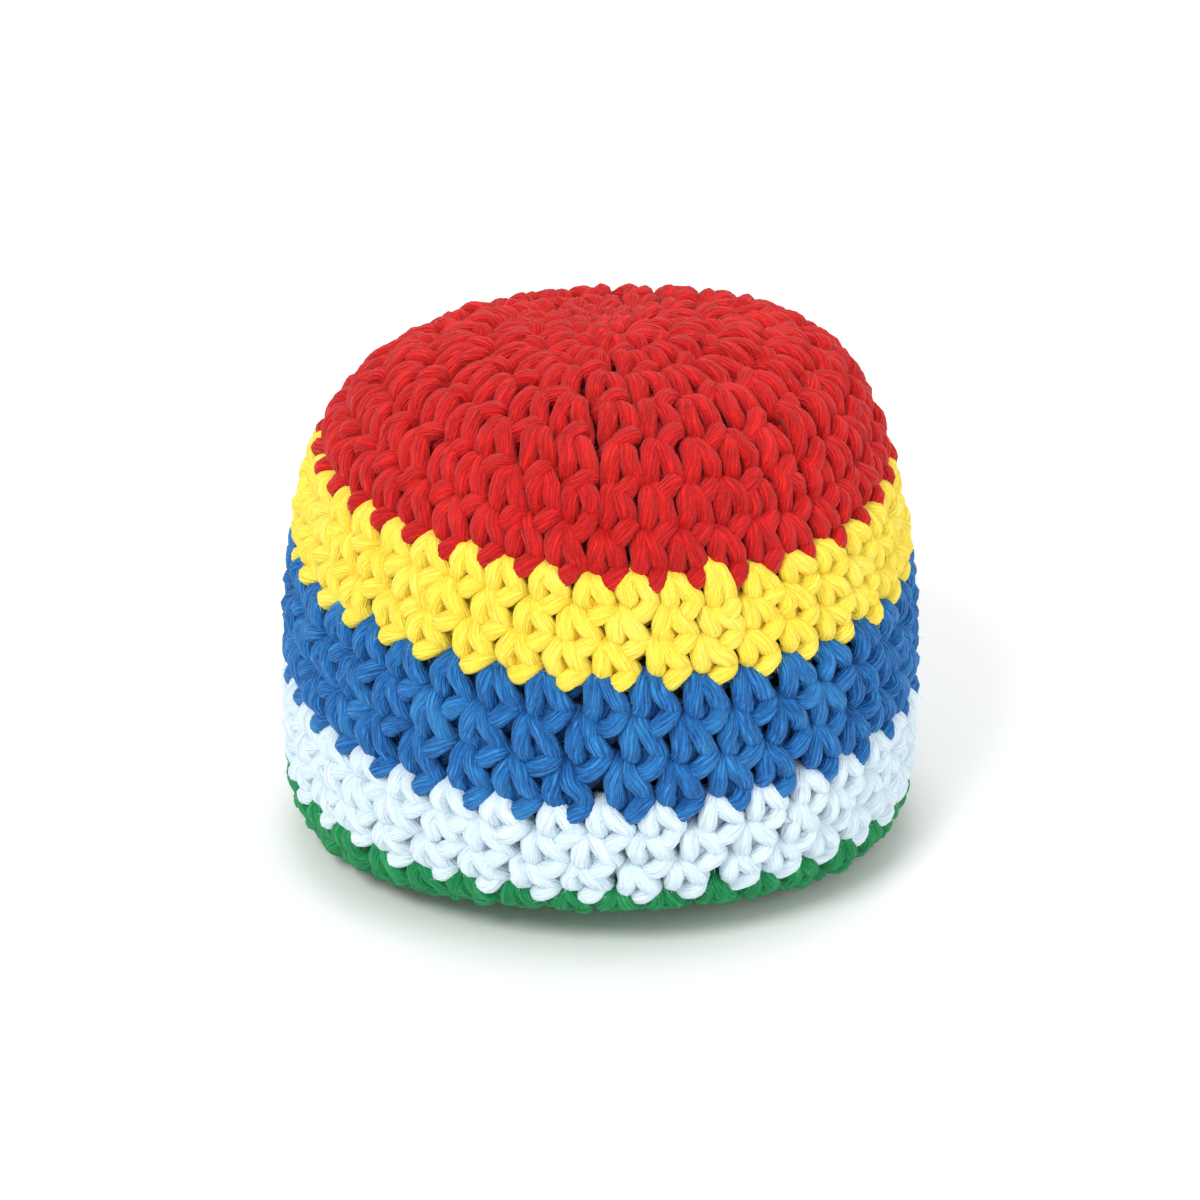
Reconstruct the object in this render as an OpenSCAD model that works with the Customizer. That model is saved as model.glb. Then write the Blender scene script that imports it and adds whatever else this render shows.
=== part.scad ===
// Crocheted juggling ball, five bands of colour around a filled bag.
// Millimetres, +Z up, origin at the middle of the flat it rests on.

/* [Ball] */
// width across the widest round
ball_d = 60; // [50:1:72]
// height from the flat to the middle of the crown
ball_h = 51.5; // [44:1:60]
// height of the widest round above the flat
widest_h = 15.5; // [9:0.5:18]
// how full the sides stay up to the shoulder, 2 is a plain ellipse
shoulder_square = 3.7; // [2.6:0.1:5]
// how flat the crown is, 2 is a plain ellipse
crown_square = 2.8; // [2.2:0.1:3.8]
// how square the lower corner is
corner_square = 5.3; // [3:0.1:6]
// how far the resting flat is pressed up into the round of the base
base_press = 1; // [0.3:0.1:1.5]

/* [Cover] */
// thickness of the crocheted cover
cover_t = 3.0; // [2.2:0.1:3.6]
// depth of the groove between two rounds
round_groove = 0.7; // [0.3:0.1:1.0]
// share of the profile from crown to base that is red
red_share = 0.33; // [0.27:0.002:0.38]
// share of the profile that is yellow
yellow_share = 0.1; // [0.08:0.001:0.14]
// share of the profile that is blue
blue_share = 0.124; // [0.1:0.001:0.15]
// share of the profile that is pale blue
pale_share = 0.101; // [0.08:0.001:0.14]
// rounds of stitches in the red crown
red_rounds = 7; // [4:1:8]
// rounds of stitches in each of the three middle bands
band_rounds = 3; // [2:1:4]
// rounds of stitches in the green base
green_rounds = 8; // [5:1:9]

/* [Filled bag] */
// gap between the cover and the bag inside it
bag_gap = 0.3; // [0.2:0.1:0.6]
// thickness of the bag's cloth
cloth_t = 0.5; // [0.4:0.1:0.8]
// height of the gathered neck of the bag
neck_h = 4.0; // [3.5:0.1:5]
// radius of the neck where it is tied
neck_r = 1.8; // [1.4:0.1:2.4]
// diameter of the thread that ties the neck
tie_d = 0.8; // [0.5:0.1:1]
// diameter of one filling pellet
pellet_d = 6.0; // [5:0.25:7]
// share of the bag that the pellets fill, counted by height
fill_share = 0.8; // [0.7:0.05:0.9]
// gap between pellets, and between a pellet and the cloth
pellet_gap = 0.15; // [0.1:0.05:0.3]

/* [Hidden] */
$fn = 96;

// Point on a round body: u is 0 at the top, 90 at the widest round, 180 at the bottom.
function upper(u, r, top, mid) =
    [r * pow(sin(u), 2 / shoulder_square),
     mid + (top - mid) * pow(max(cos(u), 0), 2 / crown_square)];
function lower(u, r, mid, low) =
    [r * pow(max(sin(u), 0), 2 / corner_square),
     max(low, mid - (mid - low + base_press) * pow(-cos(u), 2 / corner_square))];
function body_at(u, r, top, mid, low) =
    u <= 90 ? upper(u, r, top, mid) : lower(u, r, mid, low);

ball_r = ball_d / 2;
function outside(u) = body_at(u, ball_r, ball_h, widest_h, 0);
function inside(u) = body_at(u, ball_r - cover_t, ball_h - cover_t, widest_h, cover_t);

// Distance along the outside from the crown, in even steps of u.
u_step = 1.5;
u_count = 180 / u_step;
run = [for (i = 0, a = 0; i <= u_count;
            i = i + 1, a = a + norm(outside(min(180, i * u_step)) - outside((i - 1) * u_step))) a];
run_all = run[u_count];
run_u = [for (i = [0:u_count]) i * u_step];
function u_of(share) = lookup(share * run_all, [for (i = [0:u_count]) [run[i], run_u[i]]]);

yellow_from = red_share;
blue_from = yellow_from + yellow_share;
pale_from = blue_from + blue_share;
green_from = pale_from + pale_share;

// Outside of the cover with a groove between rounds; the resting flat stays flat.
steps = 6;
function groove(f) = 1 - sqrt(sin(180 * f));
function flat(p) = p[1] < 0.02 ? 0 : 1;
function ribbed(from, to, rounds, i) =
    let (k = i / steps,
         u = u_of(from + (to - from) * k / rounds),
         p = outside(u),
         q = inside(u),
         f = k - floor(k + 0.0001))
    p + (q - p) * (round_groove / cover_t) * groove(max(f, 0)) * flat(p);

// A level run of points keeps only its two ends, so a flat is one face.
function level(a, b) = abs(a[1] - b[1]) < 0.001;
function without_repeats(list) =
    [for (i = [0:len(list) - 1])
        if (i == 0 || i == len(list) - 1
            || !(level(list[i - 1], list[i]) && level(list[i], list[i + 1]))) list[i]];

module cover_band(from, to, rounds) {
    count = rounds * steps;
    skin = [for (i = [0:count]) ribbed(from, to, rounds, i)];
    lining = [for (i = [rounds * 2:-1:0]) inside(u_of(from + (to - from) * i / (rounds * 2)))];
    rotate_extrude(convexity = 8)
        polygon([for (p = concat(without_repeats(skin), without_repeats(lining)))
                     [max(p[0], 0), p[1]]]);
}

// Filled bag under the cover, its neck gathered below the crown.
bag_r = ball_r - cover_t - bag_gap;
bag_top = ball_h - cover_t - bag_gap - neck_h;
bag_low = cover_t + bag_gap;
function bag_out(u) = body_at(u, bag_r, bag_top, widest_h, bag_low);
function bag_in(u) =
    body_at(u, bag_r - cloth_t, bag_top - cloth_t, widest_h, bag_low + cloth_t);
tie_z = bag_top + neck_h * 0.4;

module red_crown_yarn() {
    color([0.86, 0.1, 0.1]) cover_band(0, yellow_from, red_rounds);
}

module yellow_band_yarn() {
    color([0.96, 0.88, 0.25]) cover_band(yellow_from, blue_from, band_rounds);
}

module blue_band_yarn() {
    color([0.12, 0.4, 0.72]) cover_band(blue_from, pale_from, band_rounds);
}

module pale_blue_band_yarn() {
    color([0.86, 0.94, 0.97]) cover_band(pale_from, green_from, band_rounds);
}

module green_base_yarn() {
    color([0.06, 0.52, 0.27]) cover_band(green_from, 1, green_rounds);
}

module pellet_bag() {
    neck = [[0, bag_top + neck_h],
            [neck_r + 0.6, bag_top + neck_h],
            [neck_r + 1, bag_top + neck_h * 0.9],
            [neck_r, tie_z + tie_d * 0.7],
            [neck_r, tie_z - tie_d * 0.7]];
    skin = [for (u = [20:5:180]) bag_out(u)];
    lining = [for (u = [180:-5:0]) bag_in(u)];
    color([0.16, 0.17, 0.2])
        rotate_extrude(convexity = 8)
            polygon([for (p = concat(neck, skin, lining)) [max(p[0], 0), p[1]]]);
}

module bag_tie_thread() {
    ring_r = neck_r + tie_d / 2 + 0.05;
    color([0.9, 0.88, 0.82]) {
        translate([0, 0, tie_z])
            rotate_extrude()
                translate([ring_r, 0]) circle(d = tie_d);
        translate([ring_r + tie_d * 0.4, 0, tie_z])
            sphere(d = tie_d * 1.7);
        for (side = [-1, 1])
            translate([ring_r + tie_d * 0.4, 0, tie_z])
                rotate([0, 90, side * 35])
                    cylinder(d = tie_d * 0.8, h = neck_h);
    }
}

// Pellets lie in close-packed layers wherever one fits inside the bag.
pitch = pellet_d + pellet_gap;
layer_h = pitch * sqrt(2 / 3);
keep_off = pellet_d / 2 + pellet_gap;
first_z = bag_low + cloth_t + keep_off;
layers = floor(fill_share * (bag_top - cloth_t - keep_off - first_z) / layer_h);
reach = ceil(ball_r / pitch);
// Free radius inside the bag at height z, pellets kept off the cloth.
function room_at(z) =
    let (mid = widest_h,
         top = bag_top - cloth_t - keep_off,
         low = bag_low + cloth_t + keep_off,
         r = bag_r - cloth_t - keep_off)
    z >= mid
        ? r * pow(max(0, 1 - pow(min(1, (z - mid) / (top - mid)), crown_square)),
                  1 / shoulder_square)
        : r * pow(max(0, 1 - pow((mid - z) / (mid - low + base_press), corner_square)),
                  1 / corner_square);

module filling_pellets() {
    color([0.93, 0.91, 0.86])
        for (k = [0:layers], i = [-reach:reach], j = [-reach:reach]) {
            z = first_z + k * layer_h;
            x = (i + j / 2 + (k % 2) / 2) * pitch;
            y = (j + (k % 2) / 3) * pitch * sqrt(3) / 2;
            if (norm([x, y]) < room_at(z))
                translate([x, y, z]) sphere(d = pellet_d);
        }
}

red_crown_yarn();
yellow_band_yarn();
blue_band_yarn();
pale_blue_band_yarn();
green_base_yarn();
pellet_bag();
bag_tie_thread();
filling_pellets();
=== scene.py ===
"""A crocheted juggling ball, built stitch by stitch on the CAD frame.

The cover is single crochet worked in one spiral from the middle of the crown
down to the middle of the base: a red crown, three bands of three rounds, and a
green base. Each round is a mesh piece swept along the yarn's own path by a
Geometry Nodes tree. Under it are the dark cloth bag, its tie and the pellets.
"""

import logging
import math
from dataclasses import dataclass
from enum import Enum
from typing import Iterable, Sequence

import bpy
import numpy as np
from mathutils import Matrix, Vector

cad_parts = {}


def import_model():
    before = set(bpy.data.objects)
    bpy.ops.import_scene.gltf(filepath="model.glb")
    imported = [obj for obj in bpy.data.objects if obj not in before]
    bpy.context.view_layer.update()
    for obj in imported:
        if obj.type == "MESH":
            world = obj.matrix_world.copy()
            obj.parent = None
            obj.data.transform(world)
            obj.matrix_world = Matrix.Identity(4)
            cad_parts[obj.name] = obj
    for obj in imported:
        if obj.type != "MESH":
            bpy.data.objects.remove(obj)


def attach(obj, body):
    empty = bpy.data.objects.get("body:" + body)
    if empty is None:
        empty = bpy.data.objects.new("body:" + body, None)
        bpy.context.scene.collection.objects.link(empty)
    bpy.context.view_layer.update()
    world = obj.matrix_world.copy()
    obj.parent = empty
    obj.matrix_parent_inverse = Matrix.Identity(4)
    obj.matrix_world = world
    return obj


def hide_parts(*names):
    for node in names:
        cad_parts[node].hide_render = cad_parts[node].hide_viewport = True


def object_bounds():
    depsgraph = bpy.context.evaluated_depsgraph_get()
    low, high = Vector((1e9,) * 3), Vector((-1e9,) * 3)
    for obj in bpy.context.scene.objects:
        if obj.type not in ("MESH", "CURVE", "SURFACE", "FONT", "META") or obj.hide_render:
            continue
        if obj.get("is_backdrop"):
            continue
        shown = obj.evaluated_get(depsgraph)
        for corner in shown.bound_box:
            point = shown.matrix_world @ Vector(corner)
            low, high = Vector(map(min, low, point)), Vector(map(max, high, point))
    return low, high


LOG = logging.getLogger("juggling_ball")
MM = 0.001


# --------------------------------------------------------------------------- sizes


class Colour(Enum):
    """The five yarns, from the crown to the base."""

    RED = "red_crown"
    YELLOW = "yellow_band"
    BLUE = "blue_band"
    PALE = "pale_blue_band"
    GREEN = "green_base"


@dataclass(frozen=True)
class BallSizes:
    """The round body that the stitches lie on; lengths in metres.

    Args:
        radius: half the width over the widest round.
        height: from the base to the crown.
        widest_share: height share at which it is widest.
        shoulder_square, crown_square: how square the upper half is, across and upward.
        corner_square: how square the lower corner is.
        base_press: how far the base is pressed up by what the ball rests on.
    """

    radius: float
    height: float
    widest_share: float = 0.274
    shoulder_square: float = 4.4
    crown_square: float = 2.5
    corner_square: float = 5.1
    base_press: float = 1.5 * MM


@dataclass(frozen=True)
class Sag:
    """How the filled ball has settled out of round; lengths in metres.

    Args:
        crown_lean: how far the middle of the crown leans to the right.
        lean_from: height share above which it leans.
        back_drop: how far the crown drops towards the back.
        front_tuck: how far the lower corner is tucked in at the front.
        tuck_share: where that corner is, as a share of the outline.
        tuck_width: how wide the tuck is, as a share of the outline.
        crowding: how much closer the stitches of the upper rounds are at the front.
        crowd_share: where on the outline they are closest.
        crowd_width: how wide that zone is, as a share of the outline.
        roll: how far the upper rounds roll up on the left and down on the right.
        back_from: outline share over which the drop at the back sets in.
        back_width: outline share by which it has died out.
    """

    crown_lean: float = 1.4 * MM
    lean_from: float = 0.70
    back_drop: float = 2.8 * MM
    front_tuck: float = 3.7 * MM
    tuck_share: float = 0.744
    tuck_width: float = 0.09
    crowding: float = 0.18
    crowd_share: float = 0.30
    crowd_width: float = 0.12
    roll: float = 1.0 * MM
    back_from: float = 0.12
    back_width: float = 0.3


@dataclass(frozen=True)
class RoundPlan:
    """One round of crochet.

    Args:
        colour: the yarn it is worked in.
        stitches: stitches in the round.
        start: distance from the crown's middle to the round's top, in metres.
        height: distance from this round's top to the next one's.
    """

    colour: Colour
    stitches: int
    start: float
    height: float


@dataclass(frozen=True)
class YarnSizes:
    """The yarn and how it is worked; lengths in metres.

    Args:
        radius: half the yarn's thickness.
        sides: sides of the swept yarn.
        plies: strands twisted together.
        ply_depth: depth of the grooves between them, as a share of the radius.
        per_span: points made between two knots of a stitch.
        lag: stitches by which each round starts later than the one above.
        wander: how uneven the stitches are, as a share of a stitch.
        knot_wander: share of it that each knot has by itself.
        thick_wander: how uneven the thickness is, as a share.
        depth_wander: how uneven the depth is.
        strand_turn: length in which the strands go round once.
        usual_height: round height at which the yarn has its own thickness.
        thinnest, thickest: limits of the thickness that other rounds give it.
        flattened: height share of the radius that the yarn keeps where it is pressed.
        bare_below: height under which no loose fibres stand.
        fibres: loose fibres per square metre.
        fibre_length: the longest loose fibre.
    """

    radius: float = 0.94 * MM
    sides: int = 11
    plies: int = 5
    ply_depth: float = 0.045
    per_span: int = 3
    lag: float = 0.27
    wander: float = 0.042
    knot_wander: float = 0.6
    thick_wander: float = 0.05
    depth_wander: float = 0.12 * MM
    strand_turn: float = 19 * MM
    usual_height: float = 4.1 * MM
    thinnest: float = 0.94
    thickest: float = 1.2
    flattened: float = 0.8
    bare_below: float = 2.2 * MM
    fibres: float = 1.6e6
    fibre_length: float = 0.9 * MM


class Profile:
    """The ball's outline from the crown's middle to the middle of the base."""

    STEPS = 720
    SMOOTHED = 25

    def __init__(self, sizes: BallSizes, sag: Sag = Sag()) -> None:
        """Works out the outline, its length and its slope."""
        self.sizes, self.sag = sizes, sag
        u = np.radians(np.linspace(0, 180, self.STEPS + 1))
        mid = sizes.height * sizes.widest_share
        up, low = 2 / sizes.shoulder_square, 2 / sizes.corner_square
        dome = 2 / sizes.crown_square
        top = u <= math.pi / 2
        s, c = np.clip(np.sin(u), 0, 1), np.cos(u)
        self.r = sizes.radius * np.where(top, s**up, s**low)
        rise = (sizes.height - mid) * np.clip(c, 0, 1) ** dome
        drop = (mid + sizes.base_press) * np.clip(-c, 0, 1) ** low
        self.z = np.where(top, mid + rise, np.maximum(mid - drop, 0))
        step = np.hypot(np.diff(self.r), np.diff(self.z))
        self.s = np.concatenate([[0], np.cumsum(step)])
        self.length = float(self.s[-1])
        smooth = np.linspace(0, self.length, self.STEPS + 1)
        r, z = np.interp(smooth, self.s, self.r), np.interp(smooth, self.s, self.z)
        kernel = np.ones(self.SMOOTHED) / self.SMOOTHED
        slope = np.unwrap(np.arctan2(-np.gradient(z), np.gradient(r)))
        padded = np.pad(slope, self.SMOOTHED // 2, mode="edge")
        self._slope = np.convolve(padded, kernel, mode="valid")
        self._along = smooth

    def at(self, s: np.ndarray) -> tuple[np.ndarray, np.ndarray, np.ndarray]:
        """Where the outline is.

        Args:
            s: distances from the crown's middle, in metres.

        Returns:
            radius, height, and the slope below the horizontal in radians.
        """
        s = np.clip(s, 0, self.length)
        r, z = np.interp(s, self.s, self.r), np.interp(s, self.s, self.z)
        return r, z, np.interp(s, self._along, self._slope)

    def place(self, turn: np.ndarray, s: np.ndarray, out: np.ndarray) -> np.ndarray:
        """Points near the surface.

        Args:
            turn: angle round the ball, 0 at the front and growing to the right.
            s: distance from the crown's middle along the outline.
            out: distance outward from the outline, negative for inward.

        Returns:
            points as rows of x, y, z.
        """
        sag, share = self.sag, s / self.length
        crowd = sag.crowding * np.exp(-(((share - sag.crowd_share) / sag.crowd_width) ** 2))
        turn = turn - crowd * np.sin(turn)
        out = out - self.tuck(turn, share)
        r, z, slope = self.at(s)
        r = r + out * np.sin(slope)
        z = z + out * np.cos(slope)
        high = np.clip((z / self.sizes.height - sag.lean_from) / (1 - sag.lean_from), 0, 1)
        x = r * np.sin(turn) + sag.crown_lean * high**2
        z = z - sag.roll * crowd / sag.crowding * np.sin(2 * turn)
        behind = np.clip(share / sag.back_from, 0, 1) * np.exp(-((share / sag.back_width) ** 4))
        z = z - sag.back_drop * behind * np.clip(-np.cos(turn), 0, 1)
        return np.stack([x, -r * np.cos(turn), z], axis=-1)

    def tuck(self, turn: np.ndarray, share: np.ndarray) -> np.ndarray:
        """How far the lower corner is tucked in, in metres.

        Args:
            turn: angle round the ball, 0 at the front.
            share: place along the outline, as a share of it.

        Returns:
            the tuck at each place.
        """
        sag = self.sag
        near = np.exp(-(((share - sag.tuck_share) / sag.tuck_width) ** 2))
        return sag.front_tuck * near * np.clip(np.cos(turn), 0, 1) ** 2


RING = 1.0 * MM
RED_SHARE = 0.325
RED_ROUNDS = ((6, 0.10), (12, 0.13), (18, 0.165), (24, 0.17), (30, 0.16), (36, 0.14),
              (36, 0.135))
BAND_SHARES = ((Colour.YELLOW, 0.098), (Colour.BLUE, 0.132), (Colour.PALE, 0.098))
BAND_ROUNDS, BAND_STITCHES = 3, 36
GREEN_STITCHES = (36, 36, 36, 30, 24, 18, 12, 6)


def plan_rounds(length: float) -> list[RoundPlan]:
    """Lays out every round from the crown to the base.

    Args:
        length: the outline's length from crown to base.

    Returns:
        the rounds in working order.
    """
    red = RED_SHARE * length - RING
    heights = [(Colour.RED, stitches, red * share) for stitches, share in RED_ROUNDS]
    for colour, share in BAND_SHARES:
        heights += [(colour, BAND_STITCHES, share * length / BAND_ROUNDS)] * BAND_ROUNDS
    used = RING + sum(h for _, _, h in heights)
    rest = length - used - RING
    heights += [(Colour.GREEN, n, rest / len(GREEN_STITCHES)) for n in GREEN_STITCHES]
    plans, start = [], RING
    for colour, stitches, height in heights:
        plans.append(RoundPlan(colour, stitches, start, height))
        start += height
    return plans


# --------------------------------------------------------------------- yarn's path


@dataclass(frozen=True)
class Knot:
    """A point of the yarn in one stitch.

    Args:
        across: stitch widths to the right of the hole that the stitch is worked in.
        down: round heights below it.
        out: millimetres outward of the yarn's resting depth.
        thick: the yarn's thickness there, as a share of its own.
        shown: 1 where the yarn lies on the outside of the cover, 0 where it is hidden.
    """

    across: float
    down: float
    out: float
    thick: float
    shown: float = 0


LEFT_LEG = (
    Knot(-0.03, -0.04, -1.60, 0.72),
    Knot(-0.08, 0.11, -0.34, 0.94, 1),
    Knot(-0.11, 0.33, 0.26, 1.12, 1),
    Knot(-0.10, 0.58, 0.16, 1.12, 1),
    Knot(-0.05, 0.84, -0.55, 0.94, 1),
    Knot(0.10, 1.02, -1.40, 0.72),
)
RIGHT_LEG = (
    Knot(0.54, 0.98, -1.40, 0.72),
    Knot(0.49, 0.78, -0.50, 0.94, 1),
    Knot(0.38, 0.54, 0.22, 1.12, 1),
    Knot(0.25, 0.31, 0.28, 1.10, 1),
    Knot(0.12, 0.10, -0.28, 0.94, 1),
    Knot(0.05, -0.04, -1.50, 0.72),
)
POST = (
    Knot(0.16, 0.40, -1.10, 0.80),
    Knot(0.18, 0.88, -1.05, 0.80),
)
CHAIN = (
    Knot(-0.02, 1.26, -1.20, 0.78),
    Knot(0.13, 1.21, -0.20, 1.06, 1),
    Knot(0.28, 1.05, 0.34, 1.30, 1),
    Knot(0.43, 0.90, -0.02, 1.10, 1),
    Knot(0.52, 0.88, -1.10, 0.78),
    Knot(0.40, 1.16, -1.60, 0.70),
    Knot(0.40, 0.60, -1.65, 0.70),
)
STITCH = LEFT_LEG + RIGHT_LEG + POST + CHAIN


@dataclass(frozen=True)
class OddStitch:
    """A stitch that was pulled up and stands out of its round.

    Args:
        round: which round it is in, counted from the crown.
        turn: where it is, as degrees round from the front to the right.
        lift: round heights that its top is pulled up.
        narrow: share of its width that it has lost.
        proud: how far it stands out, in metres.
        reach: round heights over which the pull fades.
    """

    round: int
    turn: float
    lift: float
    narrow: float
    proud: float = 0.3 * MM
    reach: float = 0.6


ODD_STITCHES = (
    OddStitch(7, 26.0, 0.42, 0.35),
    OddStitch(4, 62.0, 0.15, 0.20),
    OddStitch(11, -38.0, 0.18, 0.15),
    OddStitch(14, 33.0, 0.22, 0.20),
)


FULLNESS = {
    Colour.RED: 1.09,
    Colour.YELLOW: 1.06,
    Colour.BLUE: 1.0,
    Colour.PALE: 1.09,
    Colour.GREEN: 1.0,
}


class SpiralWork:
    """The whole cover as one spiral of stitches."""

    def __init__(self, profile: Profile, rounds: Sequence[RoundPlan], yarn: YarnSizes,
                 seed: int = 7) -> None:
        """Draws how uneven each stitch is."""
        self.profile, self.rounds, self.yarn = profile, rounds, yarn
        self.turns = self._turns()
        random = np.random.default_rng(seed)
        total = sum(p.stitches for p in rounds) + 2
        self.noise = random.normal(size=(total, len(STITCH), 3))
        self.drift = random.normal(size=(total, 3))

    def _turns(self) -> list[float]:
        """The angle that each round starts at, counted on from the back."""
        turn, turns = -math.pi, []
        for plan in self.rounds:
            turns.append(turn)
            turn += plan.stitches * self._step(plan)
        return turns

    def _step(self, plan: RoundPlan) -> float:
        """The angle from one stitch of a round to the next."""
        return 2 * math.pi / (plan.stitches + self.yarn.lag)

    def round_path(self, index: int) -> tuple[np.ndarray, np.ndarray, np.ndarray]:
        """The yarn's path through one round.

        Args:
            index: which round, counted from the crown.

        Returns:
            the points, the yarn's relative thickness and how far it shows at each.
        """
        plan, yarn = self.rounds[index], self.yarn
        step = self._step(plan)
        first = sum(p.stitches for p in self.rounds[:index])
        cell = np.array([(k.across, k.down, k.out, k.thick, k.shown) for k in STITCH])
        rows, worn = [], []
        fuller = min(max(plan.height / yarn.usual_height, yarn.thinnest), yarn.thickest)
        fuller *= FULLNESS[plan.colour]
        low = yarn.radius * yarn.flattened
        odd = self._odd_stitches(index)
        for i in range(plan.stitches + 1):
            jitter = self.noise[first + i] * yarn.wander
            drift = self.drift[first + i] * yarn.wander
            across = cell[:, 0] + jitter[:, 0] * yarn.knot_wander + drift[0]
            down = cell[:, 1] + jitter[:, 1] * yarn.knot_wander + drift[1]
            proud = 0.0
            if i in odd:
                top = np.clip(1 - cell[:, 1] / odd[i].reach, 0, 1) * cell[:, 4]
                across = across * (1 - odd[i].narrow)
                down = down - odd[i].lift * top
                proud = odd[i].proud * cell[:, 4]
            share = (i + across) / plan.stitches
            turn = self.turns[index] + (i + across) * step
            s = plan.start + plan.height * (share - 0.5 + down)
            wander = self.noise[first + i][:, 2] * yarn.depth_wander
            out = cell[:, 2] * MM + wander + proud - yarn.radius
            s = np.clip(s, low, self.profile.length - low)
            rows.append(self.profile.place(turn, s, out))
            uneven = 1 + yarn.thick_wander * self.drift[first + i][2]
            thick = cell[:, 3] * uneven * fuller
            worn.append(np.column_stack([thick, cell[:, 4]]))
        rows[-1], worn[-1] = rows[-1][:1], worn[-1][:1]
        line = self._smooth(np.hstack([np.concatenate(rows), np.concatenate(worn)]))
        shown = np.where(line[:, 2] > yarn.bare_below, np.clip(line[:, 4], 0, 1), 0)
        return line[:, :3], line[:, 3], shown

    def _odd_stitches(self, index: int) -> dict[int, OddStitch]:
        """Finds which stitches of a round are odd ones."""
        found = {}
        for odd in ODD_STITCHES:
            if odd.round == index:
                ahead = (math.radians(odd.turn) - self.turns[index]) % (2 * math.pi)
                found[round(ahead / self._step(self.rounds[index]))] = odd
        return found

    def _smooth(self, data: np.ndarray) -> np.ndarray:
        """Rounds rows of point and values off with a Catmull-Rom spline."""
        ends = np.vstack([2 * data[0] - data[1], data, 2 * data[-1] - data[-2]])
        a, b, c, d = ends[:-3], ends[1:-2], ends[2:-1], ends[3:]
        t = (np.arange(self.yarn.per_span) / self.yarn.per_span)[:, None, None]
        line = 0.5 * (2 * b + (c - a) * t + (2 * a - 5 * b + 4 * c - d) * t**2
                      + (3 * b - a - 3 * c + d) * t**3)
        line = line.transpose(1, 0, 2).reshape(-1, data.shape[1])
        line = np.vstack([line, data[-1]])
        line[:, 2] = np.maximum(line[:, 2], self.yarn.radius * self.yarn.flattened)
        return line


# ------------------------------------------------------------------ geometry nodes


class Tree:
    """Builds a Geometry Nodes tree with named inputs."""

    def __init__(self, name: str) -> None:
        """Starts the tree with its geometry input and output."""
        self.group = bpy.data.node_groups.new(name, "GeometryNodeTree")
        self.sockets: dict[str, str] = {}
        self.add_input("Geometry", "NodeSocketGeometry")
        self.group.interface.new_socket("Geometry", in_out="OUTPUT",
                                        socket_type="NodeSocketGeometry")
        self.start = self.group.nodes.new("NodeGroupInput")
        self.end = self.group.nodes.new("NodeGroupOutput")

    def add_input(self, name: str, kind: str, value: float | None = None) -> None:
        """Adds a named input, with its default value if it has one."""
        item = self.group.interface.new_socket(name, in_out="INPUT", socket_type=kind)
        self.sockets[name] = item.identifier
        if value is not None:
            item.default_value = value

    def given(self, name: str) -> bpy.types.NodeSocket:
        """The output that carries one of the tree's inputs."""
        return next(o for o in self.start.outputs if o.name == name)

    def node(self, kind: str, settings: dict | None = None,
             **values: object) -> bpy.types.Node:
        """Adds a node.

        Args:
            kind: the node's type name.
            settings: its own properties.
            values: input sockets by name, with spaces as underscores, as numbers or links.

        Returns:
            the new node.
        """
        made = self.group.nodes.new(kind)
        for key, value in (settings or {}).items():
            setattr(made, key, value)
        for key, value in values.items():
            name = key.replace("_", " ")
            self._feed(next(s for s in made.inputs if s.name == name and s.enabled), value)
        return made

    def maths(self, operation: str, *values: object) -> bpy.types.NodeSocket:
        """Adds a Math node on numbers or links, and returns its result."""
        made = self.node("ShaderNodeMath", {"operation": operation})
        for socket, value in zip(made.inputs, values):
            self._feed(socket, value)
        return made.outputs[0]

    def stored(self, name: str) -> bpy.types.NodeSocket:
        """Reads a number that the piece's points carry."""
        made = self.node("GeometryNodeInputNamedAttribute", {"data_type": "FLOAT"}, Name=name)
        return made.outputs["Attribute"]

    def _feed(self, socket: bpy.types.NodeSocket, value: object) -> None:
        """Sets a socket, or links to it."""
        if isinstance(value, bpy.types.NodeSocket):
            self.group.links.new(value, socket)
        else:
            socket.default_value = value

    def finish(self, geometry: bpy.types.NodeSocket) -> None:
        """Ends the tree on a piece of geometry."""
        self._feed(self.end.inputs[0], geometry)


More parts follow.
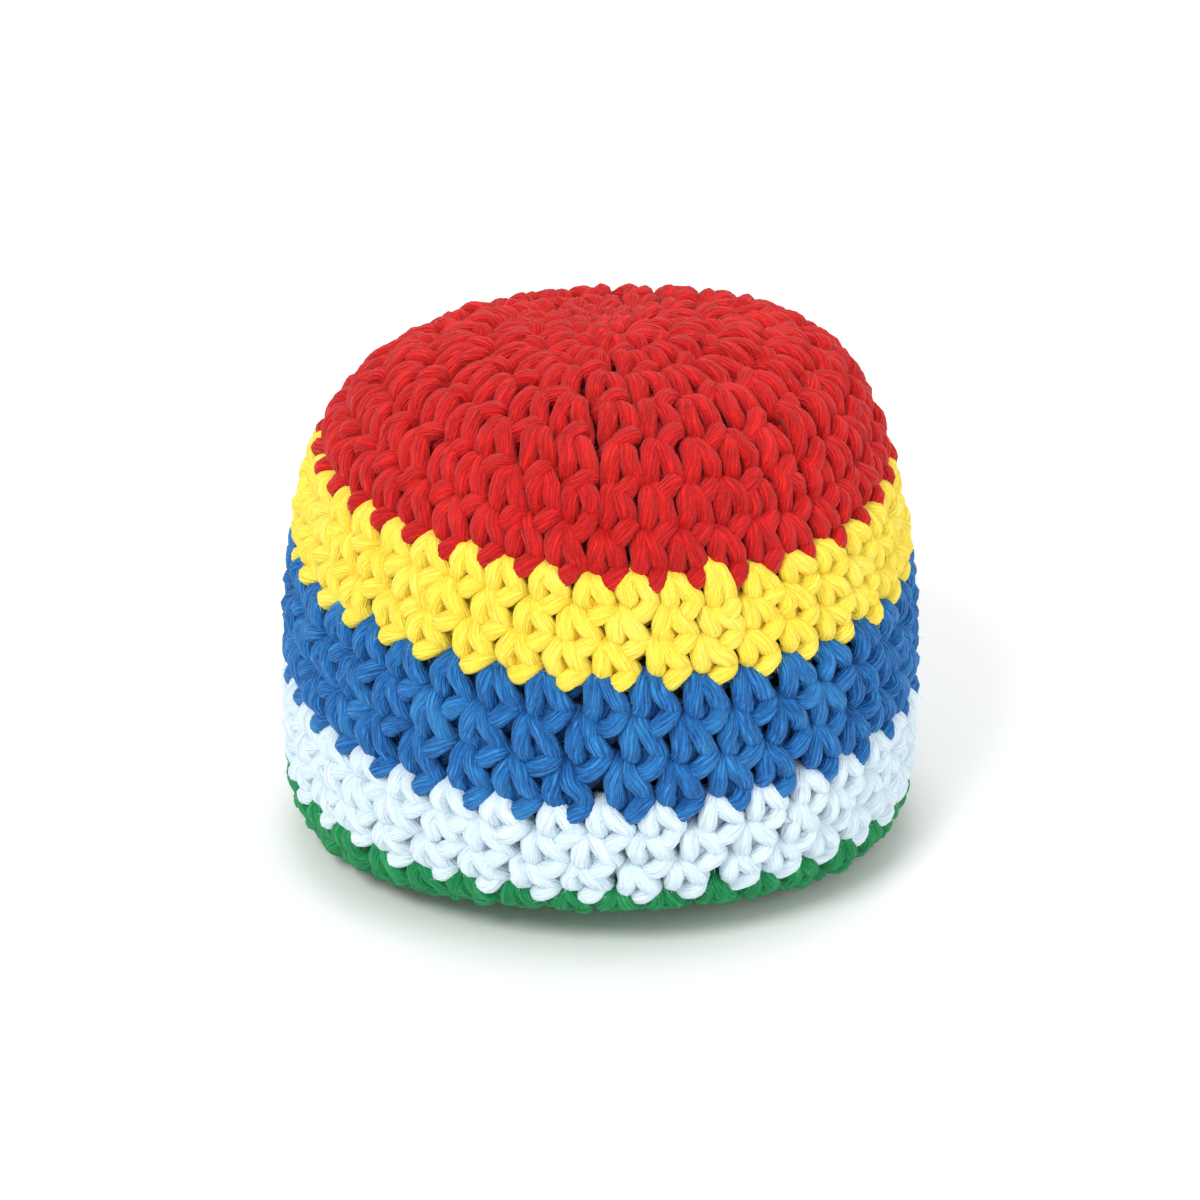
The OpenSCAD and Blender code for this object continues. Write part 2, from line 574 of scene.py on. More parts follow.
def plied_yarn_tree() -> Tree:
    """Sweeps plied yarn along a line of points that carry their thickness."""
    tree = Tree("plied_yarn")
    tree.add_input("Yarn radius", "NodeSocketFloat")
    tree.add_input("Sides", "NodeSocketInt")
    tree.add_input("Plies", "NodeSocketInt")
    tree.add_input("Ply depth", "NodeSocketFloat")
    tree.add_input("Yarn", "NodeSocketMaterial")
    line = tree.node("GeometryNodeMeshToCurve", Mesh=tree.given("Geometry"))
    sized = tree.node("GeometryNodeSetCurveRadius", Curve=line.outputs[0],
                      Radius=tree.stored("thick"))
    tilted = tree.node("GeometryNodeSetCurveTilt", Curve=sized.outputs[0],
                       Tilt=tree.stored("turned"))
    ring = tree.node("GeometryNodeCurvePrimitiveCircle", {"mode": "RADIUS"},
                     Resolution=tree.given("Sides"), Radius=1.0)
    place = tree.node("GeometryNodeInputPosition")
    axes = tree.node("ShaderNodeSeparateXYZ", Vector=place.outputs[0])
    angle = tree.maths("ARCTAN2", axes.outputs["Y"], axes.outputs["X"])
    wave = tree.maths("COSINE", tree.maths("MULTIPLY", angle, tree.given("Plies")))
    deep = tree.maths("MULTIPLY_ADD", wave, tree.given("Ply depth"), 1.0)
    size = tree.maths("MULTIPLY", deep, tree.given("Yarn radius"))
    kept = tree.node("GeometryNodeStoreNamedAttribute",
                     {"data_type": "FLOAT_VECTOR", "domain": "POINT"},
                     Geometry=ring.outputs[0], Name="ring", Value=place.outputs[0])
    scaled = tree.node("ShaderNodeVectorMath", {"operation": "SCALE"},
                       Vector=place.outputs[0], Scale=size)
    outline = tree.node("GeometryNodeSetPosition", Geometry=kept.outputs[0],
                        Position=scaled.outputs[0])
    swept = tree.node("GeometryNodeCurveToMesh", Curve=tilted.outputs[0],
                      Profile_Curve=outline.outputs[0], Fill_Caps=True)
    smooth = tree.node("GeometryNodeSetShadeSmooth", Geometry=swept.outputs[0])
    dressed = tree.node("GeometryNodeSetMaterial", Geometry=smooth.outputs[0],
                        Material=tree.given("Yarn"))
    real = tree.node("GeometryNodeRealizeInstances", Geometry=dressed.outputs[0])
    tree.finish(real.outputs[0])
    return tree


LEAST_LEAN, MOST_LEAN = (-1.35, -1.35, -3.14), (1.35, 1.35, 3.14)


def fuzz_tree() -> Tree:
    """Adds loose fibres to the outside of a yarn."""
    tree = Tree("loose_fibres")
    tree.add_input("Fibres per square metre", "NodeSocketFloat")
    tree.add_input("Fibre length", "NodeSocketFloat")
    tree.add_input("Seed", "NodeSocketInt")
    tree.add_input("Fibre", "NodeSocketObject")
    tree.add_input("Halo", "NodeSocketMaterial")
    many = tree.maths("MULTIPLY", tree.stored("shown"),
                      tree.given("Fibres per square metre"))
    spots = tree.node("GeometryNodeDistributePointsOnFaces", {"distribute_method": "RANDOM"},
                      Mesh=tree.given("Geometry"), Density=many, Seed=tree.given("Seed"))
    fibre = tree.node("GeometryNodeObjectInfo", Object=tree.given("Fibre"))
    lean = tree.node("FunctionNodeRandomValue", {"data_type": "FLOAT_VECTOR"},
                     Min=LEAST_LEAN, Max=MOST_LEAN, Seed=tree.given("Seed"))
    turned = tree.node("FunctionNodeRotateRotation", {"rotation_space": "LOCAL"},
                       Rotation=spots.outputs["Rotation"], Rotate_By=lean.outputs[0])
    size = tree.node("FunctionNodeRandomValue", {"data_type": "FLOAT"},
                     Min=0.35, Max=1.0, Seed=tree.given("Seed"))
    length = tree.maths("MULTIPLY", next(o for o in size.outputs if o.enabled),
                        tree.given("Fibre length"))
    placed = tree.node("GeometryNodeInstanceOnPoints", Points=spots.outputs["Points"],
                       Instance=fibre.outputs["Geometry"], Rotation=turned.outputs[0],
                       Scale=length)
    real = tree.node("GeometryNodeRealizeInstances", Geometry=placed.outputs[0])
    dressed = tree.node("GeometryNodeSetMaterial", Geometry=real.outputs[0],
                        Material=tree.given("Halo"))
    both = tree.node("GeometryNodeJoinGeometry")
    for part in (dressed.outputs[0], tree.given("Geometry")):
        tree.group.links.new(part, both.inputs[0])
    tree.finish(both.outputs[0])
    return tree


def apply_tree(obj: bpy.types.Object, tree: Tree, **values: object) -> None:
    """Runs a tree on an object once and keeps the result as a plain mesh.

    Args:
        obj: the object, whose mesh is replaced.
        tree: the tree to run.
        values: its inputs by name, with spaces as underscores.
    """
    modifier = obj.modifiers.new(tree.group.name, "NODES")
    modifier.node_group = tree.group
    for key, value in values.items():
        modifier[tree.sockets[key.replace("_", " ")]] = value
    graph = bpy.context.evaluated_depsgraph_get()
    mesh = bpy.data.meshes.new_from_object(obj.evaluated_get(graph), depsgraph=graph)
    obj.modifiers.clear()
    old, obj.data = obj.data, mesh
    bpy.data.meshes.remove(old)
    mesh.name = obj.name
    press_flat(mesh)


def press_flat(mesh: bpy.types.Mesh, lowest: float = 0.02 * MM) -> None:
    """Presses flat what would reach below the surface that the ball rests on.

    Args:
        mesh: the mesh to change.
        lowest: the height that nothing reaches below, in metres.
    """
    points = np.empty(len(mesh.vertices) * 3, dtype=np.float32)
    mesh.vertices.foreach_get("co", points)
    points[2::3] = np.maximum(points[2::3], lowest)
    mesh.vertices.foreach_set("co", points)
    mesh.update()


# ------------------------------------------------------------------------ materials


class Signal:
    """A shader value with arithmetic that adds Math nodes."""

    def __init__(self, shade: "Shade", socket: bpy.types.NodeSocket) -> None:
        """Wraps one output socket."""
        self.shade, self.socket = shade, socket

    def _maths(self, operation: str, *values: "Signal | float") -> "Signal":
        """Adds one Math node."""
        node = self.shade.nodes.new("ShaderNodeMath")
        node.operation = operation
        for place, value in zip(node.inputs, values):
            self.shade.feed(place, value)
        return Signal(self.shade, node.outputs[0])

    def __add__(self, other: "Signal | float") -> "Signal":
        """Adds."""
        return self._maths("ADD", self, other)

    __radd__ = __add__

    def __sub__(self, other: "Signal | float") -> "Signal":
        """Takes away."""
        return self._maths("SUBTRACT", self, other)

    def __rsub__(self, other: "Signal | float") -> "Signal":
        """Is taken away from a number."""
        return self._maths("SUBTRACT", other, self)

    def __mul__(self, other: "Signal | float") -> "Signal":
        """Multiplies."""
        return self._maths("MULTIPLY", self, other)

    __rmul__ = __mul__

    def sine(self) -> "Signal":
        """Its sine, as an angle in radians."""
        return self._maths("SINE", self)

    def angle_to(self, other: "Signal | float") -> "Signal":
        """The angle whose tangent is this value over the other."""
        return self._maths("ARCTAN2", self, other)

    def clamped(self) -> "Signal":
        """Keeps it between 0 and 1."""
        return self._maths("MINIMUM", self._maths("MAXIMUM", self, 0.0), 1.0)


class Shade:
    """Builds one material's nodes."""

    def __init__(self, name: str) -> None:
        """Starts the material with a plain Principled surface."""
        self.material = bpy.data.materials.new(name)
        self.material.use_nodes = True
        self.nodes = self.material.node_tree.nodes
        self.links = self.material.node_tree.links
        self.nodes.clear()
        out = self.nodes.new("ShaderNodeOutputMaterial")
        self.surface = self.nodes.new("ShaderNodeBsdfPrincipled")
        self.links.new(self.surface.outputs[0], out.inputs[0])

    def feed(self, socket: bpy.types.NodeSocket, value: object) -> None:
        """Sets a socket, or links to it."""
        if isinstance(value, Signal):
            self.links.new(value.socket, socket)
        else:
            socket.default_value = value

    def node(self, kind: str, output: int | str = 0, settings: dict | None = None,
             **values: object) -> Signal:
        """Adds any node.

        Args:
            kind: the node's type name.
            output: which of its outputs to return, by place or name.
            settings: its own properties, set first.
            values: input sockets by name, with spaces as underscores.

        Returns:
            the output.
        """
        made = self.nodes.new(kind)
        for key, value in (settings or {}).items():
            setattr(made, key, value)
        for key, value in values.items():
            self.feed(made.inputs[key.replace("_", " ")], value)
        return Signal(self, made.outputs[output])

    def attribute(self, name: str, output: str) -> Signal:
        """Reads one of the piece's own attributes."""
        return self.node("ShaderNodeAttribute", output, {"attribute_name": name})

    def noise(self, place: Signal, scale: float, detail: float = 2.0) -> Signal:
        """Adds a noise pattern, from 0 to 1."""
        return self.node("ShaderNodeTexNoise", "Fac", Vector=place, Scale=scale, Detail=detail)

    def mix(self, factor: Signal, a: object, b: object) -> Signal:
        """Blends two colours."""
        made = self.nodes.new("ShaderNodeMix")
        made.data_type = "RGBA"
        self.feed(made.inputs[0], factor)
        self.feed(made.inputs[6], a)
        self.feed(made.inputs[7], b)
        return Signal(self, made.outputs[2])

    def dress(self, **values: object) -> None:
        """Sets or links the surface's own sockets, by name with underscores."""
        for key, value in values.items():
            self.feed(self.surface.inputs[key.replace("_", " ")], value)


Rgb = tuple[float, float, float]


def rgba(colour: Rgb) -> tuple[float, float, float, float]:
    """Adds full opacity to a colour."""
    return (*colour, 1.0)


@dataclass(frozen=True)
class YarnFinish:
    """How one colour of cotton yarn looks.

    Args:
        colour: the fibres' own colour.
        deep: painted shade, the colour given to the grooves between the strands and to hidden
            yarn.
        faded_and_highlight: the colour of worn, dusty places, which the raised strands also
            take as a painted highlight.
        sheen: strength of the light from the fibres that stand up.
        sheen_tint: the colour of that light.
        strands: how many fine strands go round the yarn.
        stray: how far the strands wander, in radians.
        shine: how much of the faded colour the raised fibres take.
        worn: how much of it the worn places take.
    """

    colour: Rgb
    deep: Rgb
    faded_and_highlight: Rgb
    sheen: float
    sheen_tint: Rgb
    strands: float = 13.0
    stray: float = 20.0
    # shine: how much of the faded colour the raised fibres take, as a painted highlight.
    shine: float = 0.34
    worn: float = 0.35

    def material(self, name: str) -> bpy.types.Material:
        """Makes the yarn's material."""
        shade = Shade(name)
        x, y = self._ring(shade)
        along = shade.attribute("along", "Fac")
        place = shade.node("ShaderNodeTexCoord", "Object")
        fine = shade.noise(place, 2600.0)
        broad = shade.noise(place, 170.0)
        lie = shade.node("ShaderNodeCombineXYZ", X=x * 1.7, Y=y * 1.7, Z=along * 0.25)
        bundles = shade.noise(lie, 1.0, 1.0)
        lie = shade.node("ShaderNodeCombineXYZ", X=x * 5.2, Y=y * 5.2, Z=along * 1.0)
        fibres = shade.noise(lie, 1.0)
        angle = y.angle_to(x)
        strands = (angle * self.strands + bundles * self.stray).sine() * 0.5 + 0.5
        hairs = ((fibres - 0.5) * 2.6 + 0.5).clamped()
        relief = strands * 0.4 + hairs * 0.6
        # Painted shade: where the relief is low, in the grooves between the strands, the colour
        # goes towards the deep colour.
        tone = (relief * 0.95 + fine * 0.6 - 0.22).clamped()
        # Painted shade: yarn hidden under other stitches (shown near 0) is darkened further
        # towards the deep colour.
        tone = tone * (shade.attribute("shown", "Fac") * 0.6 + 0.4).clamped()
        base = shade.mix(tone, rgba(self.deep), rgba(self.colour))
        # Painted highlight: the raised strands are lightened towards the faded colour.
        shine = ((relief - 0.6) * 2.5).clamped() * self.shine
        base = shade.mix(shine, base, rgba(self.faded_and_highlight))
        worn = ((broad - 0.52) * 3.0).clamped() * self.worn
        base = shade.mix(worn, base, rgba(self.faded_and_highlight))
        bump = shade.node("ShaderNodeBump", Strength=0.8, Distance=0.2 * MM,
                          Height=relief + fine * 0.25)
        shade.dress(Base_Color=base, Roughness=0.7, Normal=bump, Specular_IOR_Level=0.25,
                    Sheen_Weight=self.sheen, Sheen_Roughness=0.45,
                    Sheen_Tint=rgba(self.sheen_tint))
        return shade.material

    def halo(self, name: str) -> bpy.types.Material:
        """Makes the material of the loose fibres."""
        shade = Shade(name)
        tone = shade.noise(shade.node("ShaderNodeTexCoord", "Object"), 300.0)
        base = shade.mix(tone, rgba(self.colour), rgba(self.faded_and_highlight))
        shade.dress(Base_Color=base, Roughness=0.9, Sheen_Weight=self.sheen,
                    Sheen_Tint=rgba(self.sheen_tint))
        return shade.material

    @staticmethod
    def _ring(shade: Shade) -> tuple[Signal, Signal]:
        """The place round the yarn, as two numbers from -1 to 1."""
        split = shade.nodes.new("ShaderNodeSeparateXYZ")
        shade.feed(split.inputs[0], shade.attribute("ring", "Vector"))
        return Signal(shade, split.outputs["X"]), Signal(shade, split.outputs["Y"])


# Per yarn: own colour, painted shade colour of grooves and hidden yarn, faded colour that is
# also the painted highlight, sheen strength and sheen tint.
FINISHES = {
    Colour.RED: YarnFinish((0.76, 0.006, 0.005), (0.24, 0.001, 0.002), (0.86, 0.035, 0.028),
                           0.16, (1.0, 0.5, 0.5)),
    Colour.YELLOW: YarnFinish((0.99, 0.86, 0.10), (0.93, 0.62, 0.03), (1.0, 0.93, 0.24),
                              0.10, (1.0, 0.95, 0.6)),
    Colour.BLUE: YarnFinish((0.018, 0.21, 0.60), (0.002, 0.035, 0.17), (0.08, 0.44, 0.84),
                            0.10, (0.5, 0.8, 1.0)),
    Colour.PALE: YarnFinish((0.76, 0.89, 0.97), (0.64, 0.79, 0.88), (0.92, 0.98, 1.0),
                            0.15, (0.95, 0.98, 1.0)),
    Colour.GREEN: YarnFinish((0.008, 0.33, 0.10), (0.002, 0.11, 0.03), (0.06, 0.48, 0.19),
                             0.12, (0.4, 1.0, 0.6)),
}


# --------------------------------------------------------------------------- pieces


def new_object(name: str, points: np.ndarray, edges: Iterable = (),
               faces: Iterable = ()) -> bpy.types.Object:
    """Makes a mesh object in the scene.

    Args:
        name: the object's name.
        points: rows of x, y, z in metres.
        edges, faces: what joins them, as tuples of point numbers.

    Returns:
        the object.
    """
    mesh = bpy.data.meshes.new(name)
    mesh.from_pydata([tuple(p) for p in points], [tuple(e) for e in edges],
                     [tuple(f) for f in faces])
    obj = bpy.data.objects.new(name, mesh)
    bpy.context.collection.objects.link(obj)
    return obj


def store(obj: bpy.types.Object, **values: np.ndarray) -> None:
    """Stores numbers on an object's points, one attribute for each name."""
    for name, numbers in values.items():
        layer = obj.data.attributes.new(name, "FLOAT", "POINT")
        layer.data.foreach_set("value", numbers.astype(np.float32))


@dataclass(frozen=True)
class LooseLoop:
    """A fine strand that was pulled out of a stitch; lengths in metres.

    Args:
        round: the round that it comes out of, counted from the crown.
        turn: where it is, as degrees round from the front to the right.
        down: round heights below the round's top at which it starts.
        wide, tall: its size on the cover.
        slip: how much lower it ends than it starts.
        sunk: how deep its ends lie.
        proud: how far its middle stands out from them.
        radius: half its thickness.
    """

    round: int = 14
    turn: float = 34.5
    down: float = 0.75
    wide: float = 4.2 * MM
    tall: float = 1.9 * MM
    slip: float = 0.8 * MM
    sunk: float = 0.7 * MM
    proud: float = 0.9 * MM
    radius: float = 0.26 * MM
    points: int = 24

    def path(self, plan: RoundPlan, profile: Profile) -> np.ndarray:
        """The strand's points."""
        t = np.linspace(0, 1, self.points)
        turns = math.radians(self.turn) + (t - 0.5) * self.wide / profile.sizes.radius
        rise = self.tall * np.sin(math.pi * t) ** 0.8
        s = plan.start + plan.height * self.down - rise + t * self.slip
        out = -self.sunk + self.proud * np.sin(math.pi * t) ** 0.6
        return profile.place(turns, s, out)


class Cover:
    """The crocheted cover, one piece per round, and a loop pulled out of it."""

    def __init__(self, work: SpiralWork, yarn: YarnSizes) -> None:
        """Builds the trees, the materials and the fibre that is repeated."""
        self.work, self.yarn = work, yarn
        self.tree, self.fuzz = plied_yarn_tree(), fuzz_tree()
        self.yarns = {c: f.material(c.value + "_yarn") for c, f in FINISHES.items()}
        self.halos = {c: f.halo(c.value + "_loose_fibres") for c, f in FINISHES.items()}
        self.fibre = self._fibre()

    def _fibre(self) -> bpy.types.Object:
        """One curled fibre, a unit long, as a thin ribbon."""
        t = np.linspace(0, 1, 4)
        x, z = 0.3 * np.sin(t * 2.4), t - 0.3 * t**2
        half = 0.015 * (1 - 0.5 * t)
        left, right = np.column_stack([x, -half, z]), np.column_stack([x, half, z])
        n = len(t)
        faces = [(i, i + 1, i + 1 + n, i + n) for i in range(n - 1)]
        return new_object("fibre_pattern", np.concatenate([left, right]), faces=faces)

    def build(self) -> list[bpy.types.Object]:
        """Makes every round and the loop.

        Returns:
            the pieces in working order.
        """
        counts: dict[Colour, int] = {}
        pieces = []
        for index, plan in enumerate(self.work.rounds):
            counts[plan.colour] = counts.get(plan.colour, 0) + 1
            name = f"{plan.colour.value}_round_{counts[plan.colour]}"
            pieces.append(self._round(name, index, plan))
        pieces.append(self._loose_loop(LooseLoop()))
        bpy.data.objects.remove(self.fibre)
        return pieces

    def _round(self, name: str, index: int, plan: RoundPlan) -> bpy.types.Object:
        """Makes one round with its loose fibres."""
        obj = self._strand(name, *self.work.round_path(index))
        apply_tree(obj, self.tree, Yarn_radius=self.yarn.radius, Sides=self.yarn.sides,
                   Plies=self.yarn.plies, Ply_depth=self.yarn.ply_depth,
                   Yarn=self.yarns[plan.colour])
        apply_tree(obj, self.fuzz, Fibres_per_square_metre=self.yarn.fibres,
                   Fibre_length=self.yarn.fibre_length, Seed=index + 11, Fibre=self.fibre,
                   Halo=self.halos[plan.colour])
        return self._declare(obj, plan.colour)

    def _loose_loop(self, loop: LooseLoop) -> bpy.types.Object:
        """Makes the strand that was pulled out of a stitch."""
        plan = self.work.rounds[loop.round]
        points = loop.path(plan, self.work.profile)
        even = np.ones(len(points))
        obj = self._strand(plan.colour.value + "_loose_loop", points, even, even)
        apply_tree(obj, self.tree, Yarn_radius=loop.radius, Sides=9, Plies=3, Ply_depth=0.08,
                   Yarn=self.yarns[plan.colour])
        return self._declare(obj, plan.colour)

    def _strand(self, name: str, points: np.ndarray, thick: np.ndarray,
                shown: np.ndarray) -> bpy.types.Object:
        """Makes a line of points that carries what the yarn tree reads.

        Args:
            name: the piece's name.
            points: the line, in metres.
            thick: the yarn's relative thickness at each point.
            shown: how far it shows there, 0 to 1.

        Returns:
            the piece, still a bare line.
        """
        obj = new_object(name, points, edges=[(i, i + 1) for i in range(len(points) - 1)])
        step = np.linalg.norm(np.diff(points, axis=0), axis=1)
        along = np.concatenate([[0], np.cumsum(step)])
        store(obj, thick=thick, along=along / MM, shown=shown,
              turned=along * 2 * math.pi / self.yarn.strand_turn)
        return obj

    def _declare(self, obj: bpy.types.Object, colour: Colour) -> bpy.types.Object:
        """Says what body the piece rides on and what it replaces."""
        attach(obj, "root")
        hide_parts(colour.value + "_yarn")
        LOG.info("%s: %d faces", obj.name, len(obj.data.polygons))
        return obj


@dataclass(frozen=True)
class PlainFinish:
    """A matt material with grain, for the pieces inside.

    Args:
        colour, dark: the two colours that the grain runs between.
        grain: how fine the grain is.
        roughness: how matt it is.
        threads: threads per millimetre of a woven cloth, 0 for no weave.
    """

    colour: Rgb
    dark: Rgb
    grain: float
    roughness: float
    threads: float = 0.0

    def material(self, name: str) -> bpy.types.Material:
        """Makes the material."""
        shade = Shade(name)
        tone = shade.noise(shade.node("ShaderNodeTexCoord", "Object"), self.grain, 3.0)
        if self.threads:
            wefts = (shade.attribute("round", "Fac") * (self.threads * math.pi)).sine()
            warps = (shade.attribute("down", "Fac") * (self.threads * math.pi)).sine()
            tone = tone * 0.5 + (wefts * warps + 1.0) * 0.25
        bump = shade.node("ShaderNodeBump", Strength=0.4, Distance=0.1 * MM, Height=tone)
        shade.dress(Base_Color=shade.mix(tone, rgba(self.dark), rgba(self.colour)),
                    Normal=bump, Roughness=self.roughness)
        return shade.material


@dataclass(frozen=True)
class BagSizes:
    """The dark cloth bag under the cover; lengths in metres.

    Args:
        depth: how far under the cover's outside it lies.
        follows: share of the cover's tuck that it does not take part in.
        neck_drop: how much lower it lies at its neck.
        drop_width: distance over which it comes down to the neck.
        mouth: distance from the crown's middle at which the body ends.
        base_gap: distance from the middle of the base at which it starts.
        upright: distance over which the body turns upright to its neck.
        cloth: the cloth's thickness.
        neck_radius, neck_flare: the neck's radius, and what it gains over the tie.
        tie_height, tie_half: where the tie is, and half its height.
        frill_height, frill_radius, frill_edge: the top edge, and how deep it is.
        pleats, pleat_depth: folds of the body at the neck.
        frill_pleats, frill_pleat_depth: folds of the frill.
        lumps, lump_height: pellets that press through in one ring, and how far.
        pellet: distance from one ring of pellets to the next.
        thread_span: length of cloth between two rings of points, in millimetres.
        around, rings: points round the bag and rings of points along it.
    """

    depth: float = 3.5 * MM
    follows: float = 0.4
    neck_drop: float = 3.6 * MM
    drop_width: float = 12 * MM
    mouth: float = 5 * MM
    base_gap: float = 1.5 * MM
    upright: float = 9 * MM
    cloth: float = 0.45 * MM
    neck_radius: float = 1.9 * MM
    neck_flare: float = 0.2 * MM
    tie_height: float = 45.8 * MM
    tie_half: float = 0.6 * MM
    frill_height: float = 48.2 * MM
    frill_radius: float = 2.9 * MM
    frill_edge: float = 0.5 * MM
    pleats: int = 22
    pleat_depth: float = 0.5 * MM
    frill_pleats: int = 11
    frill_pleat_depth: float = 0.12 * MM
    lumps: int = 28
    lump_height: float = 0.22 * MM
    pellet: float = 6.1 * MM
    thread_span: float = 1.4
    around: int = 132
    rings: int = 64


class PelletBag:
    """The gathered bag, lumpy with pellets and tied at its neck."""

    def __init__(self, profile: Profile, sizes: BagSizes = BagSizes()) -> None:
        """Keeps the outline that the bag follows, and its sizes."""
        self.profile, self.sizes = profile, sizes

    def build(self) -> bpy.types.Object:
        """Makes the bag as one closed cloth shell."""
        b = self.sizes
        turn = np.linspace(0, 2 * math.pi, b.around, endpoint=False)
        outer, inner = self._wall(turn, 0.0), self._wall(turn, b.cloth)
        rings = outer + inner[::-1]
        below, inside = rings[0].mean(axis=0), rings[-1].mean(axis=0)
        points = np.concatenate(rings + [below[None], inside[None]])
        bag = new_object("dark_pellet_bag", points, faces=self._faces(len(rings)))
        self._mark_threads(bag, turn, len(rings))
        bag.data.polygons.foreach_set("use_smooth", [True] * len(bag.data.polygons))
        bag.data.materials.append(INSIDE_FINISHES["pellet_bag"].material("dark_bag_cloth"))
        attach(bag, "root")
        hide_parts("pellet_bag")
        LOG.info("%s: %d faces", bag.name, len(bag.data.polygons))
        return bag

    def _wall(self, turn: np.ndarray, inward: float) -> list[np.ndarray]:
        """The rings of one side of the cloth, from the base up to the frill."""
        b = self.sizes
        stops = np.linspace(self.profile.length - b.base_gap, b.mouth, b.rings)
        neck = ((b.neck_radius, b.tie_height - b.tie_half),
                (b.neck_radius, b.tie_height),
                (b.neck_radius + b.neck_flare, b.tie_height + b.tie_half),
                (b.frill_radius, b.frill_height - b.frill_edge),
                (b.frill_radius, b.frill_height))
        return ([self._body(turn, s, inward) for s in stops]
                + [self._neck(turn, r - inward, z) for r, z in neck])

    def _faces(self, count: int) -> list[tuple[int, ...]]:
        """The cloth's faces, with a fan of triangles at each end."""
        n, last = self.sizes.around, count - 1
        faces = [(k * n + i, k * n + (i + 1) % n, (k + 1) * n + (i + 1) % n, (k + 1) * n + i)
                 for k in range(last) for i in range(n)]
        below, inside = count * n, count * n + 1
        faces += [(below, (i + 1) % n, i) for i in range(n)]
        faces += [(inside, last * n + i, last * n + (i + 1) % n) for i in range(n)]
        return faces

    def _body(self, turn: np.ndarray, s: float, inward: float) -> np.ndarray:
        """One ring of the filled part."""
        b = self.sizes
        near_neck = math.exp(-((s / b.drop_width) ** 2))
        wave = math.sin(2 * math.pi * s / b.pellet)
        lumps = np.sin(turn * b.lumps) * wave * b.lump_height
        pleats = np.sin(turn * b.pleats) * b.pleat_depth * near_neck
        out = lumps * (1 - near_neck) + pleats - inward - b.depth - b.neck_drop * near_neck
        stops = np.full_like(turn, s)
        out = out + b.follows * self.profile.tuck(turn, stops / self.profile.length)
        sagged = self.profile.place(turn, stops, out)
        r, z, slope = self.profile.at(s)
        r, z = r + out * np.sin(slope), z + out * np.cos(slope)
        plain = np.stack([r * np.sin(turn), -r * np.cos(turn), z], axis=-1)
        share = min(max((s - b.mouth) / b.upright, 0), 1)
        return plain + (sagged - plain) * share

    def _neck(self, turn: np.ndarray, r: float, z: float) -> np.ndarray:
        """One ring of the gathered neck, in pleats."""
        r = r + np.sin(turn * self.sizes.frill_pleats) * self.sizes.frill_pleat_depth
        return np.stack([r * np.sin(turn), -r * np.cos(turn), np.full_like(turn, z)], axis=-1)

    def _mark_threads(self, bag: bpy.types.Object, turn: np.ndarray, count: int) -> None:
        """Stores where the threads run, in millimetres round and down the bag."""
        across = np.tile(turn * self.profile.sizes.radius / MM, count)
        down = np.repeat(np.arange(count) * self.sizes.thread_span, len(turn))
        store(bag, round=np.append(across, [0, 0]), down=np.append(down, [0, 0]))


INSIDE_FINISHES = {
    "pellet_bag": PlainFinish((0.115, 0.12, 0.135), (0.035, 0.037, 0.045), 2500.0, 0.85, 3.0),
    "bag_tie_thread": PlainFinish((0.8, 0.77, 0.7), (0.5, 0.47, 0.4), 3000.0, 0.8),
    "filling_pellets": PlainFinish((0.86, 0.84, 0.8), (0.74, 0.71, 0.66), 400.0, 0.45),
}


def dress_inside() -> None:
    """Gives the CAD pieces inside the bag their materials."""
    for node in ("bag_tie_thread", "filling_pellets"):
        material = INSIDE_FINISHES[node].material(node + "_finish")
        for place in bpy.data.objects[node].material_slots:
            place.material = material


# --------------------------------------------------------------------------- studio


@dataclass(frozen=True)
class Lamp:
    """A round soft light, aimed at the ball; metres and watts."""

    name: str
    place: tuple[float, float, float]
    size: float
    power: float


LAMPS = (
    Lamp("key", (-0.45, -0.75, 0.95), 0.45, 8.0),
    Lamp("fill", (0.85, -0.55, 0.55), 0.6, 2.5),
    Lamp("top", (0.0, 0.35, 1.1), 0.6, 3.5),
)


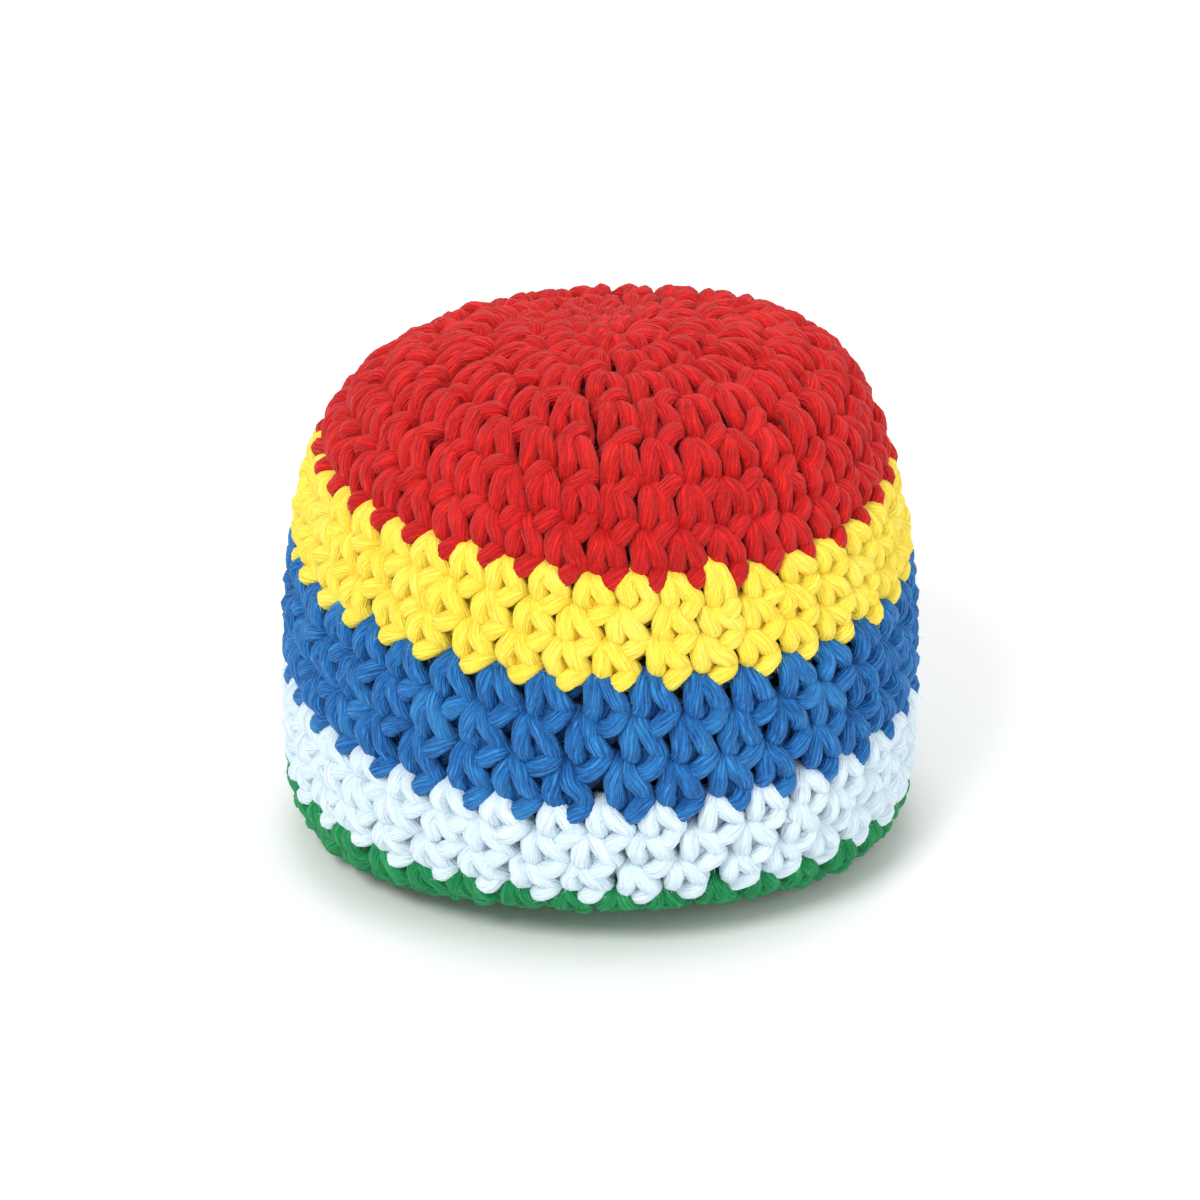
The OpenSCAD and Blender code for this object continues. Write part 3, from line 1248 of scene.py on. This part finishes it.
@dataclass(frozen=True)
class Studio:
    """Camera, floor and lights round the ball.

    Args:
        elevation: how far above the horizontal the camera looks from, in degrees.
        lens, sensor: the camera's focal length and sensor width, in millimetres.
        width_share: share of the picture's width that the ball takes.
        floor: the floor's width, in metres.
        sky: strength of the even light from all round.
    """

    elevation: float = 26.8
    lens: float = 200.0
    sensor: float = 36.0
    width_share: float = 0.527
    floor: float = 3.0
    sky: float = 0.72

    def build(self, centre: Vector, width: float) -> None:
        """Sets the studio up round the ball.

        Args:
            centre: what the camera and the lights point at.
            width: the ball's width, in metres.
        """
        self._camera(centre, width)
        self._floor()
        for lamp in LAMPS:
            self._light(lamp, centre)
        world = bpy.data.worlds.new("studio")
        world.use_nodes = True
        sky = world.node_tree.nodes["Background"]
        sky.inputs["Color"].default_value = (1, 1, 1, 1)
        sky.inputs["Strength"].default_value = self.sky
        bpy.context.scene.world = world

    def _camera(self, centre: Vector, width: float) -> None:
        """Stands the camera in front of the ball and a little above it."""
        data = bpy.data.cameras.new("camera")
        data.lens, data.sensor_width = self.lens, self.sensor
        data.clip_start, data.clip_end = 0.01, 20.0
        camera = bpy.data.objects.new("camera", data)
        bpy.context.collection.objects.link(camera)
        e = math.radians(self.elevation)
        back = Vector((0, -math.cos(e), math.sin(e)))
        distance = width / self.width_share * self.lens / self.sensor
        camera.location = centre + back * distance
        camera.rotation_mode = "QUATERNION"
        camera.rotation_quaternion = (-back).to_track_quat("-Z", "Y")
        bpy.context.scene.camera = camera

    def _floor(self) -> None:
        """Lays the pale floor under the ball."""
        h = self.floor / 2
        floor = new_object("floor", [(-h, -h, 0), (h, -h, 0), (h, h, 0), (-h, h, 0)],
                           faces=[(0, 1, 2, 3)])
        shade = Shade("pale_floor")
        tone = shade.noise(shade.node("ShaderNodeTexCoord", "Object"), 3.0)
        grey, pale = rgba((0.93, 0.93, 0.93)), rgba((0.95, 0.95, 0.95))
        shade.dress(Base_Color=shade.mix(tone, grey, pale), Roughness=0.9)
        floor.data.materials.append(shade.material)
        floor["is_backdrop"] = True

    def _light(self, lamp: Lamp, centre: Vector) -> None:
        """Hangs one light and turns it to the ball."""
        data = bpy.data.lights.new(lamp.name, "AREA")
        data.shape, data.size, data.energy = "DISK", lamp.size, lamp.power
        light = bpy.data.objects.new(lamp.name, data)
        bpy.context.collection.objects.link(light)
        light.location = lamp.place
        light.rotation_mode = "QUATERNION"
        light.rotation_quaternion = (centre - light.location).to_track_quat("-Z", "Y")


# ----------------------------------------------------------------------------- main


AIM_HEIGHT = 23.05 * MM


def as_lists(bounds: Iterable) -> list[list[float]]:
    """Turns the two corners of a box into plain lists."""
    return [[float(v) for v in corner] for corner in bounds]


def main() -> None:
    """Builds the whole scene."""
    logging.basicConfig(level=logging.INFO, format="%(message)s")
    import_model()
    cad_box = as_lists(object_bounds())
    low, high = (Vector(corner) for corner in cad_box)
    sizes = BallSizes(radius=(high.x - low.x) / 2, height=high.z)
    profile = Profile(sizes)
    yarn = YarnSizes()
    work = SpiralWork(profile, plan_rounds(profile.length), yarn)
    pieces = Cover(work, yarn).build()
    LOG.info("%d triangles", sum(len(f.vertices) - 2 for o in pieces for f in o.data.polygons))
    PelletBag(profile).build()
    dress_inside()
    Studio().build(Vector((0, 0, AIM_HEIGHT)), sizes.radius * 2)
    bpy.context.scene.view_settings.view_transform = "Standard"


if __name__ == "__main__":
    main()
